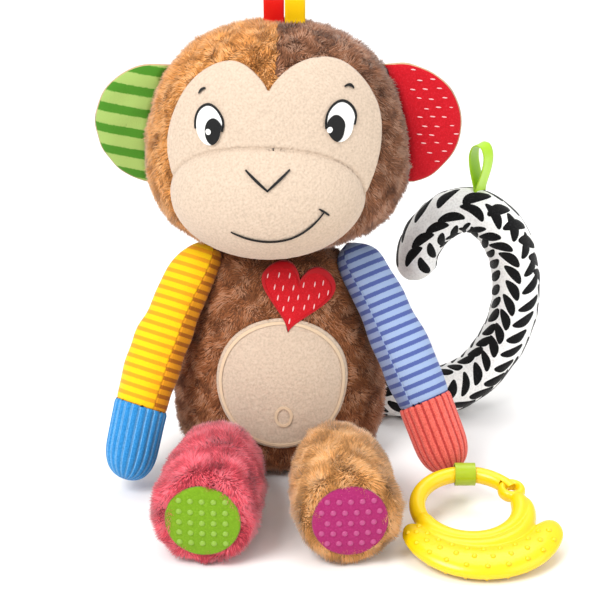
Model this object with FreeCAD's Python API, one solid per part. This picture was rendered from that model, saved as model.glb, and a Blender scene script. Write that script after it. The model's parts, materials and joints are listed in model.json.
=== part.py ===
import FreeCAD, Part
import math
import os

V = FreeCAD.Vector

# A seated plush activity monkey, in millimetres. It faces -Y and stands on z = 0, with the
# origin at the middle of the torso's flat base. "left" is the monkey's own left, +X.

# ---- driving dimensions -------------------------------------------------------------------
CLOTH = 2.0                 # plush cover, with the backing that it is knitted on
GAP = 0.2                   # between a cover and the stuffing that it holds
THREAD = 0.6                # height of an embroidered stitch
PATCH = 1.2                 # thickness of a sewn-on patch
RIBBON = 0.7                # satin ribbon with its heat-cut edge
RIBBON_WIDTH = 10.0

TORSO_DEPTH = 0.80          # front-to-back size over width
TORSO = ((41, 1.4), (50, 8), (54.5, 20), (54.8, 42), (50, 63), (43, 82), (37, 100),
         (29.5, 111.5), (15, 116.7), (6, 117.5), (0, 117.6))
SEAT_HALF = (37.0, 29.0)
SEAT_THICKNESS = 1.2        # the sewn-in panel that the toy sits on
BELLY_CENTRE = (1.6, 54.0)
BELLY_HALF = (33.4, 33.6)
NAVEL_CENTRE = (2.4, 38.5)
NAVEL_HALF = (4.6, 5.6)

NECK_PIVOT = V(0, 0, 119)
NECK_RADIUS = 12.0
NECK_HALF_LENGTH = 6.6

HEAD_DEPTH = 0.85
HEAD = ((0, 120), (12, 120.1), (24, 120.8), (44, 124.8), (58, 135), (65, 150), (66, 166), (62, 188),
        (54, 206), (38, 221), (20, 228), (9, 229.7), (0, 230))
HEAD_YAW = -3.2             # the face looks a little to its own right
HEAD_ROLL = -1.0
MUZZLE_CENTRE = V(-2, -38, 155.5)
MUZZLE_HALF = V(47.5, 30, 33)
MASK_LEFT = ((0, 207.5), (6, 214.5), (17, 219.5), (32, 218), (44.5, 208), (51.5, 195), (52.8, 180),
             (48.5, 163), (38, 146), (0, 140))
MASK_RIGHT = ((0, 207.5), (-6, 214.5), (-15.5, 219), (-28, 216.5), (-39.5, 207.5), (-47, 194.5),
              (-50.5, 180), (-47, 162), (-38, 146), (0, 140))
EYES = ((33.8, 192.6), (-28.5, 191.8))
EYE_HALF = (6.4, 8.9)
PUPIL_SHIFT = (-2.4, -2.5)  # towards the nose, and down
PUPIL_HALF = (4.4, 6.2)
HIGHLIGHT_RADIUS = 1.3
LID = 1.0                   # dark stitching over the upper half of the white of an eye
LID_LOW = -2.0              # where that stitching ends, from the middle of the eye
BROWS = (((35.4, 207.6), (37.8, 208.0), (39.8, 206.2)), ((-33.8, 205.2), (-32.6, 206.9), (-30.4, 207.9)))
NOSE_SIDE = ((10.4, 174.6), (5.6, 170.4), (-0.3, 165.4))
NOSE_WIDTH = 1.2
MOUTH = ((-18, 144.6), (-9, 141.0), (1, 139.6), (11, 141.4), (20, 147.0), (26.4, 154.0))
MOUTH_END = ((24.0, 155.7), (26.4, 153.8), (28.6, 151.8))
LINE_WIDTH = 1.0

EAR_CENTRE = V(61, 6, 177)
EAR_RADIUS = 31.0
EAR_HALF_THICKNESS = 4.5
EAR_ROOT_GAP = 3.2          # room for the ear to fold beside the head
EAR_TAB_GAP = 1.5

SHOULDER = V(42.0, -8, 110.5)
ARM_DEPTH = 0.92
ARM = ((0, 0), (4.6, 0.7), (8.8, 3.4), (12, 9), (13.3, 20), (13.6, 38), (14.4, 60), (13.4, 84),
       (10.2, 102), (5.6, 113.5), (0, 118))
CUFF = 39.0                 # from the tip of the hand to the end of the sleeve
LEFT_HAND_TIP = V(88, -53, 11)
RIGHT_HAND_TIP = V(-77, -54, 12)
SLEEVE_SEAM_TURN = 24.0     # degrees between the sleeve's seam plane and the arm's side

LEG = ((18.5, 0), (23.6, 3), (25, 11), (24.6, 34), (21.8, 55), (16.4, 69), (9.4, 78), (4.6, 81.8), (0, 83))
LEFT_SOLE = V(34, -128, 25.2)
RIGHT_SOLE = V(-34.5, -128, 25.2)
LEFT_HIP = V(27, -45.5, 18)
RIGHT_HIP = V(-27, -45.5, 18)
SOLE_THICKNESS = 1.2
DOT_RADIUS = 1.5
DOT_HEIGHT = 0.9
DOT_PITCH = 5.4

TAIL_ROUTE = ((9, 46.4, 13), (31, 50, 13), (57, 40, 13), (80, 38, 13.2), (102, 44, 17),
              (119, 50, 32), (128.5, 52, 55), (129, 52, 80), (121, 52, 102), (101, 52, 115.5),
              (83, 52, 107), (75, 52, 91), (76, 52, 76))
TAIL_RADIUS = 13.0
TAIL_ROOT_RADIUS = 4.0
TAIL_TIP_RADIUS = 11.0
TAIL_ROUND_START = 0.965    # the share of its length where the tip starts to round off
TAIL_LENGTHS = 10           # the curled cover is made of this many short lengths

LOOP_RADIUS = 5.0           # round top of a ribbon loop
HEAD_LOOP_HEIGHT = 25.0
TAIL_SLACK = 0.7            # the filling is this much short of the cover on the bends
TAIL_LOOP_HEIGHT = 25.0
HEAD_LOOP_Y = 3.0
HEAD_LOOP_Z = 230.9
RED_LOOP_X = -2.1
YELLOW_LOOP_X = 8.3
TAIL_LOOP_BASE = V(107.5, 52, 127.9)
TAIL_LOOP_TURN = 50.0

RING_RADIUS = 25.0          # teether ring, to the middle of its bar
RING_BAR = 4.0
BANANA_THICKNESS = 10.0
TEETHER_TILT = 11.0
TEETHER_HINGE = V(92.5, -70, 19.0)

SQUEAKER_CENTRE = V(0, -14, 58)
SQUEAKER_RADIUS = 14.0
SQUEAKER_HALF_HEIGHT = 4.5
RATTLE_CENTRE = V(33, -102, 24)
RATTLE_RADIUS = 11.0
BEAD_RADIUS = 2.4

FRONT_HALF = (180.0, 180.0)  # start direction and angle, in degrees about Z from +X
BACK_HALF = (0.0, 180.0)
LEFT_HALF = (-90.0, 180.0)
RIGHT_HALF = (90.0, 180.0)
FAR = 400.0                 # larger than the whole toy


# ---- outlines and solids ------------------------------------------------------------------
def smooth(points):
    """One smooth edge through the points."""
    curve = Part.BSplineCurve()
    curve.interpolate(Points=points)
    return curve.toShape()


def scaled(shape, x, y, z):
    matrix = FreeCAD.Matrix()
    matrix.scale(x, y, z)
    return shape.transformGeometry(matrix)


def grown(profile, extra):
    """A profile made larger by extra all round, about the middle of its height."""
    widest = max(radius for radius, height in profile)
    low = profile[0][1]
    high = profile[-1][1]
    middle = (low + high) / 2
    wide = (widest + extra) / widest
    tall = (high - low + 2 * extra) / (high - low)
    return [(radius * wide, middle + (height - middle) * tall) for radius, height in profile]


def side_edges(profile, extra):
    """The edges of a grown profile, from its foot on the Z axis up to its crown on the axis."""
    outline = grown(profile, extra)
    points = [V(radius, 0, height) for radius, height in outline]
    edges = [smooth(points)]
    if outline[0][0] > 0:
        edges.append(Part.makeLine(V(0, 0, outline[0][1]), points[0]))
    return edges, V(0, 0, outline[0][1]), V(0, 0, outline[-1][1])


def half_section(profile, extra=0.0):
    """The flat half section of a round body: from the Z axis out to its grown profile."""
    edges, foot, crown = side_edges(profile, extra)
    edges.append(Part.makeLine(crown, foot))
    return Part.Face(Part.Wire(Part.__sortEdges__(edges)))


def wall_section(profile, outside, inside):
    """The flat half section of a wall between two sizes of the same body."""
    outer, outer_foot, outer_crown = side_edges(profile, outside)
    inner, inner_foot, inner_crown = side_edges(profile, inside)
    joins = [Part.makeLine(outer_foot, inner_foot), Part.makeLine(inner_crown, outer_crown)]
    return Part.Face(Part.Wire(Part.__sortEdges__(outer + inner + joins)))


def column(radius, low, high):
    """A rectangle in the half section, from behind the Z axis out to a radius."""
    corners = [V(-1, 0, low), V(radius, 0, low), V(radius, 0, high), V(-1, 0, high)]
    return Part.Face(Part.makePolygon(corners + corners[:1]))


def turned(section, start=45.0, angle=360.0):
    """A half section turned about Z, from one direction through an angle."""
    face = section.Faces[0].copy()
    face.rotate(V(0, 0, 0), V(0, 0, 1), start)
    return face.revolve(V(0, 0, 0), V(0, 0, 1), angle)


def ellipsoid(centre, half):
    ball = scaled(Part.makeSphere(1.0), half.x, half.y, half.z)
    ball.translate(centre)
    return ball


def cylinder(start, end, radius):
    axis = end - start
    return Part.makeCylinder(radius, axis.Length, start, axis)


def half_space(point, normal):
    """A large box on the side of a plane that its normal points to."""
    box = Part.makeBox(FAR, FAR, FAR, V(-FAR / 2, -FAR / 2, 0))
    box.Placement = FreeCAD.Placement(point, FreeCAD.Rotation(V(0, 0, 1), normal))
    return box


def forward_prism(wire, start=-1.0):
    """The outline, drawn in the plane y = 0, extended forward from a start through the front."""
    face = Part.Face(wire)
    face.translate(V(0, start, 0))
    return face.extrude(V(0, -FAR / 2, 0))


def forward_ring(outer, inner, start=-1.0):
    """The strip between two outlines, extended forward in the same way."""
    face = Part.makeFace([outer, inner], "Part::FaceMakerBullseye")
    face.translate(V(0, start, 0))
    return face.extrude(V(0, -FAR / 2, 0))


def oval(centre, half):
    """An upright oval outline in the plane y = 0."""
    x, z = centre
    wide, tall = half
    points = [V(x + wide * math.cos(t), 0, z + tall * math.sin(t))
              for t in (math.pi * k / 4 for k in range(8))]
    curve = Part.BSplineCurve()
    curve.interpolate(Points=points, PeriodicFlag=True)
    return Part.Wire([curve.toShape()])


def stroke(points, width):
    """The outline of one embroidered line, drawn in the plane y = 0 and narrow at its ends."""
    route = [V(x, 0, z) for x, z in points]
    upper = []
    lower = []
    for index, point in enumerate(route):
        before = route[max(index - 1, 0)]
        after = route[min(index + 1, len(route) - 1)]
        along = (after - before).normalize()
        side = V(-along.z, 0, along.x)
        share = 0.55 if index in (0, len(route) - 1) else 1.0
        upper.append(point + side * (width / 2 * share))
        lower.append(point - side * (width / 2 * share))
    lower.reverse()
    edges = [smooth(upper), Part.makeLine(upper[-1], lower[0]),
             smooth(lower), Part.makeLine(lower[-1], upper[0])]
    return Part.Wire(edges)


def heart_outline(inset=0.0):
    """The tilted heart on the chest, in the plane y = 0."""
    width = 19.6 - inset
    low = -17.5 + 1.4 * inset
    notch = 8.0 - 1.1 * inset
    high = 14.0 - inset
    left = smooth([V(0, 0, low), V(-0.6 * width, 0, -4.5), V(-0.97 * width, 0, 6),
                   V(-0.55 * width, 0, high), V(0, 0, notch)])
    right = smooth([V(0, 0, notch), V(0.55 * width, 0, high), V(0.97 * width, 0, 6),
                    V(0.6 * width, 0, -4.5), V(0, 0, low)])
    wire = Part.Wire([left, right])
    wire.rotate(V(0, 0, 0), V(0, 1, 0), 14)
    wire.translate(V(8.8, 0, 97.8))
    return wire


def front_layer(profile, low, high):
    """A thin layer over the front half of a round body, between two heights above it."""
    return turned(wall_section(profile, high, low), *FRONT_HALF)


def placed(shape, start, direction):
    """The shape moved so that its +Z axis starts at a point and runs along a direction."""
    copy = shape.copy()
    move = FreeCAD.Placement(start, FreeCAD.Rotation(V(0, 0, 1), direction))
    copy.Placement = move.multiply(copy.Placement)
    return copy


def mirrored(shape):
    return shape.mirror(V(0, 0, 0), V(1, 0, 0))


def export(name, shape):
    shape.exportStep("parts/" + name + ".step")
    box = shape.optimalBoundingBox(True, False)
    print("%-24s %2d solids %9.1f mm3  x %6.1f %6.1f  y %6.1f %6.1f  z %6.1f %6.1f" % (
        name, len(shape.Solids), shape.Volume, box.XMin, box.XMax, box.YMin, box.YMax,
        box.ZMin, box.ZMax))
    assert shape.isValid() and shape.Solids, name


# ---- torso --------------------------------------------------------------------------------
# Torso pieces are made as round bodies and given their real depth last, by export_torso.
def export_torso(name, shape):
    export(name, scaled(shape, 1, TORSO_DEPTH, 1))


def make_torso():
    neck_pocket = column((NECK_RADIUS + 0.6) / TORSO_DEPTH,
                         NECK_PIVOT.z - NECK_HALF_LENGTH - 0.4, FAR)
    wall = wall_section(TORSO, 0, -CLOTH).cut(neck_pocket)
    export_torso("torso_front_cover", turned(wall, *FRONT_HALF))
    export_torso("torso_back_cover", turned(wall, *BACK_HALF))
    stuffing = turned(half_section(TORSO, -CLOTH - GAP).cut(neck_pocket))
    half = (SQUEAKER_HALF_HEIGHT + 0.3) / TORSO_DEPTH
    middle = V(SQUEAKER_CENTRE.x, SQUEAKER_CENTRE.y / TORSO_DEPTH, SQUEAKER_CENTRE.z)
    squeaker_pocket = cylinder(middle - V(0, half, 0), middle + V(0, half, 0),
                               SQUEAKER_RADIUS + 0.3)
    export_torso("torso_stuffing", stuffing.cut(squeaker_pocket))
    outline = Part.Ellipse(V(0, 0, 0), SEAT_HALF[0], SEAT_HALF[1]).toShape()
    export("seat_panel", Part.Face(Part.Wire(outline)).extrude(V(0, 0, SEAT_THICKNESS)))


def make_belly():
    over_heart = forward_prism(heart_outline(-0.3))
    patch = front_layer(TORSO, 0.1, PATCH).common(forward_prism(oval(BELLY_CENTRE, BELLY_HALF)))
    export_torso("belly_patch", patch.cut(over_heart))
    wide, tall = BELLY_HALF
    layer = front_layer(TORSO, PATCH + 0.05, PATCH + THREAD)
    rim = layer.common(forward_ring(oval(BELLY_CENTRE, (wide - 1.4, tall - 1.4)),
                                    oval(BELLY_CENTRE, (wide - 2.8, tall - 2.8))))
    export_torso("belly_rim_stitch", rim.cut(over_heart))
    wide, tall = NAVEL_HALF
    navel = layer.common(forward_ring(oval(NAVEL_CENTRE, NAVEL_HALF),
                                      oval(NAVEL_CENTRE, (wide - 1.4, tall - 1.4))))
    export_torso("navel_stitch", navel)


def make_heart():
    heart = forward_prism(heart_outline())
    export_torso("heart_patch", front_layer(TORSO, 0.1, PATCH).common(heart))
    edging = front_layer(TORSO, PATCH + 0.05, PATCH + THREAD).common(heart)
    export_torso("heart_edging", edging.cut(forward_prism(heart_outline(2.0))))


def make_squeaker():
    half = SQUEAKER_HALF_HEIGHT
    front = SQUEAKER_CENTRE - V(0, half, 0)
    back = SQUEAKER_CENTRE + V(0, half, 0)
    inner_front = front + V(0, 0.8, 0)
    inner_back = back - V(0, 0.8, 0)
    bore = cylinder(inner_back, back, 2.0)
    bellows = cylinder(front, back, SQUEAKER_RADIUS)
    bellows = bellows.cut(cylinder(inner_front, inner_back, SQUEAKER_RADIUS - 0.8)).cut(bore)
    export("squeaker_bellows", bellows)
    export("squeaker_reed", cylinder(inner_back - V(0, 3, 0), back - V(0, 0.1, 0), 1.9))


# ---- neck and head ------------------------------------------------------------------------
def make_neck():
    low = NECK_PIVOT - V(0, 0, NECK_HALF_LENGTH)
    export("neck_stuffing", Part.makeCylinder(NECK_RADIUS, 2 * NECK_HALF_LENGTH, low))


def turned_head(shape):
    """A shape modelled looking straight ahead, turned with the head on the neck."""
    copy = shape.copy()
    copy.rotate(NECK_PIVOT, V(0, 1, 0), HEAD_ROLL)
    copy.rotate(NECK_PIVOT, V(0, 0, 1), HEAD_YAW)
    return copy


def head_outer(extra):
    return scaled(turned(half_section(HEAD, extra)), 1, HEAD_DEPTH, 1)


def head_layer(low, high, outline):
    """A thin patch on the front of the head, between two heights above its cover."""
    layer = scaled(front_layer(HEAD, low, high), 1, HEAD_DEPTH, 1)
    return layer.common(forward_prism(outline))


def muzzle_outer(extra):
    return ellipsoid(MUZZLE_CENTRE, MUZZLE_HALF + V(extra, extra, extra))


def muzzle_layer(low, high, outline):
    layer = muzzle_outer(high).cut(muzzle_outer(low))
    return layer.common(forward_prism(outline, MUZZLE_CENTRE.y - 1))


def export_on_head(name, shape):
    export(name, turned_head(shape))


def make_head():
    neck_pocket = column((NECK_RADIUS + 2.5) / HEAD_DEPTH, -FAR,
                         NECK_PIVOT.z + NECK_HALF_LENGTH + 2)
    wall = wall_section(HEAD, 0, -CLOTH).cut(neck_pocket)
    for name, half in (("head_cover_left", LEFT_HALF), ("head_cover_right", RIGHT_HALF)):
        export_on_head(name, scaled(turned(wall, *half), 1, HEAD_DEPTH, 1))
    stuffing = turned(half_section(HEAD, -CLOTH - GAP).cut(neck_pocket))
    export_on_head("head_stuffing", scaled(stuffing, 1, HEAD_DEPTH, 1))


def mask_outline():
    left = [V(x, 0, z) for x, z in MASK_LEFT]
    right = [V(x, 0, z) for x, z in reversed(MASK_RIGHT)]
    return Part.Wire([smooth(left), smooth(right)])


def make_face():
    mask = head_layer(0.1, PATCH + 0.4, mask_outline())
    export_on_head("face_mask", mask.cut(muzzle_outer(0.15)))
    behind = head_outer(0.1)
    muzzle = muzzle_outer(0).cut(muzzle_outer(-CLOTH)).cut(behind)
    export_on_head("muzzle_cover", muzzle)
    export_on_head("muzzle_stuffing", muzzle_outer(-CLOTH - GAP).cut(behind))


def make_eyes():
    base = PATCH + 0.45
    wide, tall = EYE_HALF
    whites = []
    lids = []
    pupils = []
    shines = []
    for x, z in EYES:
        side = math.copysign(1, x)
        white = forward_prism(oval((x, z), EYE_HALF))
        whites.append(head_layer(base, base + THREAD, oval((x, z), (wide - 0.05, tall - 0.05))))
        lid = head_layer(base, base + THREAD + 0.3, oval((x, z), (wide + LID, tall + LID)))
        lids.append(lid.cut(white).common(half_space(V(x, 0, z + LID_LOW), V(0, 0, 1))))
        over = base + THREAD + 0.05
        centre = (x + side * PUPIL_SHIFT[0], z + PUPIL_SHIFT[1])
        inside = forward_prism(oval((x, z), (wide - 0.1, tall - 0.1)))
        pupils.append(head_layer(over, over + THREAD, oval(centre, PUPIL_HALF)).common(inside))
        over += THREAD + 0.05
        spot = oval((centre[0] - PUPIL_HALF[0] * 0.6, centre[1]), (HIGHLIGHT_RADIUS, HIGHLIGHT_RADIUS))
        shines.append(head_layer(over, over + 0.4, spot))
    export_on_head("eye_whites", Part.makeCompound(whites))
    export_on_head("eye_outlines", Part.makeCompound(lids))
    export_on_head("eye_pupils", Part.makeCompound(pupils))
    export_on_head("eye_highlights", Part.makeCompound(shines))


def make_stitches():
    base = PATCH + 0.45
    brows = [head_layer(base, base + THREAD, stroke(line, LINE_WIDTH)) for line in BROWS]
    export_on_head("brow_stitches", Part.makeCompound(brows))
    other_side = [(-x, z) for x, z in NOSE_SIDE]
    nose = [muzzle_layer(0.05, THREAD, stroke(line, NOSE_WIDTH)) for line in (NOSE_SIDE, other_side)]
    export_on_head("nose_stitch", nose[0].fuse(nose[1]))
    mouth = muzzle_layer(0.05, THREAD, stroke(MOUTH, LINE_WIDTH))
    end = muzzle_layer(0.05, THREAD, stroke(MOUTH_END, LINE_WIDTH))
    export_on_head("mouth_stitch", mouth.fuse(end))


def make_ears():
    """Each ear is a flat pad: a printed front, a plush back and a crinkling film between."""
    half = V(EAR_RADIUS, EAR_HALF_THICKNESS, EAR_RADIUS)
    pad = ellipsoid(EAR_CENTRE, half).cut(head_outer(EAR_ROOT_GAP))
    hollow = ellipsoid(EAR_CENTRE, half - V(1.4, 1.4, 1.4))
    shell = pad.cut(hollow)
    film = ellipsoid(EAR_CENTRE, half - V(1.6, 1.6, 1.6)).cut(head_outer(EAR_TAB_GAP))
    film = film.common(half_space(EAR_CENTRE - V(0, 0.2, 0), V(0, 1, 0)))
    film = film.common(half_space(EAR_CENTRE + V(0, 0.2, 0), V(0, -1, 0)))
    front = shell.common(half_space(EAR_CENTRE - V(0, 0.3, 0), V(0, -1, 0)))
    back = shell.common(half_space(EAR_CENTRE + V(0, 0.3, 0), V(0, 1, 0)))
    for name, shape in (("front", front), ("back", back), ("film", film)):
        export_on_head("ear_" + name + "_left", shape)
        export_on_head("ear_" + name + "_right", mirrored(shape))


# ---- ribbon loops -------------------------------------------------------------------------
def drop_wire(half_base, low, centre, radius):
    """A drop in the plane x = 0: two straight sides from a narrow base up to a round top."""
    reach = math.hypot(half_base, centre - low)
    turn = math.atan2(low - centre, -half_base) - math.acos(radius / reach)
    left = V(0, radius * math.cos(turn), centre + radius * math.sin(turn))
    right = V(0, -left.y, left.z)
    top = V(0, 0, centre + radius)
    foot_left = V(0, -half_base, low)
    foot_right = V(0, half_base, low)
    return Part.Wire([Part.makeLine(foot_left, left), Part.Arc(left, top, right).toShape(),
                      Part.makeLine(right, foot_right), Part.makeLine(foot_right, foot_left)])


def ribbon_loop(height, radius):
    """A loop of ribbon standing up along +Z, sewn together at its foot."""
    outer = Part.Face(drop_wire(RIBBON, 0, height - radius, radius))
    inner = Part.Face(drop_wire(0.1, 3.5, height - radius, radius - RIBBON))
    loop = outer.cut(inner).extrude(V(RIBBON_WIDTH, 0, 0))
    loop.translate(V(-RIBBON_WIDTH / 2, 0, 0))
    return loop


def make_head_ribbons():
    for name, x in (("head_ribbon_red", RED_LOOP_X), ("head_ribbon_yellow", YELLOW_LOOP_X)):
        loop = ribbon_loop(HEAD_LOOP_HEIGHT, LOOP_RADIUS)
        loop.translate(V(x, HEAD_LOOP_Y, HEAD_LOOP_Z))
        export(name, loop)


def make_tail_ribbon():
    loop = ribbon_loop(TAIL_LOOP_HEIGHT, LOOP_RADIUS)
    loop.rotate(V(0, 0, 0), V(0, 0, 1), TAIL_LOOP_TURN)
    loop.translate(TAIL_LOOP_BASE)
    export("tail_ribbon", loop)


# ---- arms ---------------------------------------------------------------------------------
def arm_axis(side, tip):
    """The point where an arm's tip is, and the direction from it to the shoulder."""
    shoulder = V(side * SHOULDER.x, SHOULDER.y, SHOULDER.z)
    direction = (shoulder - tip).normalize()
    length = ARM[-1][1]
    return shoulder - direction * length, direction


def make_arm(name, side, tip):
    wall = wall_section(ARM, 0, -CLOTH)
    sleeve = wall.cut(column(FAR, -FAR, CUFF))
    turn = side * SLEEVE_SEAM_TURN
    panels = {"sleeve_front_": turned(sleeve, 180 + turn, 180),
              "sleeve_back_": turned(sleeve, turn, 180),
              "hand_": turned(wall.cut(column(FAR, CUFF, FAR))),
              "arm_stuffing_": turned(half_section(ARM, -CLOTH - GAP))}
    start, direction = arm_axis(side, tip)
    for prefix, shape in panels.items():
        export(prefix + name, placed(scaled(shape, 1, ARM_DEPTH, 1), start, direction))


# ---- legs ---------------------------------------------------------------------------------
def make_leg(name, sole_centre, hip, dot_rows_shifted):
    """A leg lies on the floor: its printed sole faces forward, its other end is a seam."""
    direction = (V(hip.x, hip.y, sole_centre.z) - sole_centre).normalize()
    cover = turned(wall_section(LEG, 0, -CLOTH))
    stuffing = placed(turned(half_section(LEG, -CLOTH - GAP)), sole_centre, direction)
    if name == "left":
        stuffing = stuffing.cut(Part.makeSphere(RATTLE_RADIUS + 0.3, RATTLE_CENTRE))
    export("leg_cover_" + name, placed(cover, sole_centre, direction))
    export("leg_stuffing_" + name, stuffing)

    radius = LEG[0][0]
    disc = Part.makeCylinder(radius, SOLE_THICKNESS, V(0, 0, -SOLE_THICKNESS - 0.05))
    export("sole_" + name, placed(disc, sole_centre, direction))
    dots = []
    reach = int(radius / DOT_PITCH) + 1
    for row in range(-reach, reach + 1):
        shift = DOT_PITCH / 2 if dot_rows_shifted and row % 2 else 0.0
        for column in range(-reach, reach + 1):
            x = column * DOT_PITCH + shift
            y = row * DOT_PITCH
            if math.hypot(x, y) < radius - DOT_RADIUS - 0.8:
                base = V(x, y, -SOLE_THICKNESS - 0.1 - DOT_HEIGHT)
                dots.append(Part.makeCone(DOT_RADIUS * 0.6, DOT_RADIUS, DOT_HEIGHT, base))
    export("sole_dots_" + name, placed(Part.makeCompound(dots), sole_centre, direction))


def make_rattle():
    shell = Part.makeSphere(RATTLE_RADIUS, RATTLE_CENTRE)
    export("rattle_capsule", shell.cut(Part.makeSphere(RATTLE_RADIUS - 1.2, RATTLE_CENTRE)))
    beads = []
    for turn in range(5):
        angle = 2 * math.pi * turn / 5
        place = RATTLE_CENTRE + V(5.2 * math.cos(angle), 5.2 * math.sin(angle), -4.6)
        beads.append(Part.makeSphere(BEAD_RADIUS, place))
    export("rattle_beads", Part.makeCompound(beads))


# ---- tail ---------------------------------------------------------------------------------
def tail_radius(share, inset):
    """The tail swells from its root seam, keeps its size, and is rounded at the tip."""
    swell = min(1.0, share / 0.16)
    radius = TAIL_ROOT_RADIUS + (TAIL_RADIUS - TAIL_ROOT_RADIUS) * math.sin(swell * math.pi / 2)
    if share > 0.7:
        radius += (TAIL_TIP_RADIUS - TAIL_RADIUS) * (share - 0.7) / 0.3
    if share > TAIL_ROUND_START:
        fall = (share - TAIL_ROUND_START) / (1 - TAIL_ROUND_START)
        radius *= max(math.sqrt(1 - fall * fall), 0.12)
    return max(radius - inset, 0.6)


def tail_sections(inset, shares):
    """Round sections across the tail at shares of its length."""
    curve = Part.BSplineCurve()
    curve.interpolate(Points=[V(*point) for point in TAIL_ROUTE])
    length = curve.length()
    wires = []
    for share in shares:
        parameter = curve.parameterAtDistance(share * length)
        along = V(*curve.tangent(parameter)[0]).normalize()
        side = along.cross(V(0, 1, 0)).normalize()
        rotation = FreeCAD.Rotation(side, along.cross(side), along, "ZXY")
        ring = Part.Wire([Part.Circle(V(0, 0, 0), V(0, 0, 1), tail_radius(share, inset)).toShape()])
        ring.Placement = FreeCAD.Placement(curve.value(parameter), rotation)
        wires.append(ring)
    return wires


def tail_loft(inset, shares):
    return Part.makeLoft(tail_sections(inset, shares), True, False)


def between(start, end, count):
    return [start + (end - start) * index / count for index in range(count + 1)]


def make_tail():
    """The cover is short lengths end to end, so that each one is nearly straight."""
    tip_shares = [TAIL_ROUND_START + (1 - TAIL_ROUND_START) * math.sin(math.pi / 8 * index)
                  for index in range(5)]
    lengths = []
    for index in range(TAIL_LENGTHS):
        start = TAIL_ROUND_START * index / TAIL_LENGTHS
        end = TAIL_ROUND_START * (index + 1) / TAIL_LENGTHS
        inner_start = 0.012 if index == 0 else start
        outer = tail_loft(0, between(start, end, 3))
        lengths.append(outer.cut(tail_loft(CLOTH, between(inner_start, end, 3))))
    lengths.append(tail_loft(0, tip_shares))
    export("tail_cover", Part.makeCompound(lengths))
    export("tail_stuffing", tail_loft(CLOTH + TAIL_SLACK, between(0.014, TAIL_ROUND_START - 0.002, 24)))


# ---- teether ------------------------------------------------------------------------------
def on_teether(shape):
    """Teether shapes are drawn about the ring's centre, then hung from the hinge."""
    copy = shape.copy()
    copy.translate(V(0, -RING_RADIUS, 0))
    copy.rotate(V(0, 0, 0), V(1, 0, 0), TEETHER_TILT)
    copy.translate(TEETHER_HINGE)
    return copy


def ring_arc(start, end, bar):
    """Part of the ring, from one angle to another."""
    circle = Part.Circle(V(RING_RADIUS, 0, 0), V(0, 1, 0), bar).toShape()
    arc = Part.Face(Part.Wire([circle])).revolve(V(0, 0, 0), V(0, 0, 1), end - start)
    arc.rotate(V(0, 0, 0), V(0, 0, 1), start)
    return arc


def banana_body():
    """The crescent of the banana bunch."""
    left = V(-28, -11, 0)
    right = V(43, -19, 0)
    stem = V(35, -4, 0)
    outer = Part.Arc(left, V(4, -48, 0), right).toShape()
    tip = Part.Arc(right, V(42, -9, 0), stem).toShape()
    inner = Part.Arc(stem, V(0, -23.5, 0), left).toShape()
    face = Part.Face(Part.Wire([outer, tip, inner]))
    body = face.extrude(V(0, 0, BANANA_THICKNESS))
    body.translate(V(0, 0, -BANANA_THICKNESS / 2))
    return body


def make_teether():
    eyelet_turn = 29
    eyelet_centre = V(RING_RADIUS, 0, 0)
    eyelet = Part.makeCylinder(6.6, 7, eyelet_centre - V(0, 0, 3.5))
    eyelet.rotate(V(0, 0, 0), V(0, 0, 1), eyelet_turn)
    stem = ring_arc(-55, eyelet_turn, RING_BAR + 0.5)
    body = banana_body().fuse(stem).fuse(eyelet)
    ring = ring_arc(eyelet_turn, 232, RING_BAR).cut(body)
    export("teether_bananas", on_teether(body))
    export("teether_ring", on_teether(max(ring.Solids, key=lambda solid: solid.Volume)))


def make_teether_ribbon():
    """The ribbon loop that leaves the left hand's tip and goes round the teether's ring."""
    start, direction = arm_axis(1, LEFT_HAND_TIP)
    foot = V(TEETHER_HINGE.x, start.y - 1.5, start.z + 0.5)
    along = TEETHER_HINGE - foot
    eye = RING_BAR + 1.0 + RIBBON
    loop = placed(ribbon_loop(along.Length + eye, eye), foot, along)
    export("teether_ribbon", loop.cut(placed(turned(half_section(ARM, 0.2)), start, direction)))


def main():
    os.makedirs("parts", exist_ok=True)
    make_torso()
    make_belly()
    make_heart()
    make_squeaker()
    make_neck()
    make_head()
    make_face()
    make_eyes()
    make_stitches()
    make_ears()
    make_head_ribbons()
    make_arm("left", 1, LEFT_HAND_TIP)
    make_arm("right", -1, RIGHT_HAND_TIP)
    make_leg("left", LEFT_SOLE, LEFT_HIP, True)
    make_leg("right", RIGHT_SOLE, RIGHT_HIP, False)
    make_rattle()
    make_tail()
    make_tail_ribbon()
    make_teether()
    make_teether_ribbon()


main()
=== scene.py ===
import json
import math

import bpy
import numpy as np
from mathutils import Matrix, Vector
from mathutils.bvhtree import BVHTree


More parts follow.
